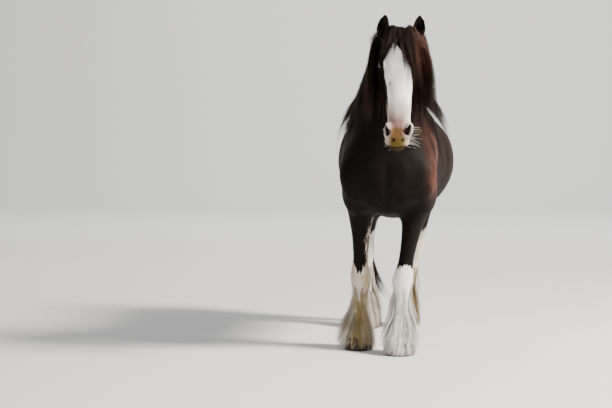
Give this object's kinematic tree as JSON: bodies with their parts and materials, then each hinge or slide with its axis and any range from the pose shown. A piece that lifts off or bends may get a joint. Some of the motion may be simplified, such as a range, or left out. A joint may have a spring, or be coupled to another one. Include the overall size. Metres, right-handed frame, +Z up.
{
  "type": "shire horse",
  "caption": "Life-size standing draught horse with a black coat, white blaze and feathered white legs, head up and facing forwards, as a still display model.",
  "frame": {"origin": "On the floor, under the centre of the model's bounding box", "axes": "+X is the horse's left side, -Y is the way it looks, +Z is up"},
  "size_m": [0.8625, 2.475, 2.3106],
  "materials": {
    "coat": "short glossy hair",
    "long_hair": "long wavy hair",
    "white_feather": "long soft hair",
    "hoof_horn": "dull horn",
    "eye": "wet and glossy"
  },
  "bodies": {
    "root": {"torso": "coat", "neck": "long_hair", "head": "coat", "tail": "long_hair", "ear_left": "coat", "ear_right": "coat", "eye_left": "eye", "eye_right": "eye", "fore_leg_left": "white_feather", "fore_leg_right": "white_feather", "hind_leg_left": "white_feather", "hind_leg_right": "white_feather", "hoof_fore_left": "hoof_horn", "hoof_fore_right": "hoof_horn", "hoof_hind_left": "hoof_horn", "hoof_hind_right": "hoof_horn"}
  },
  "joints": []
}
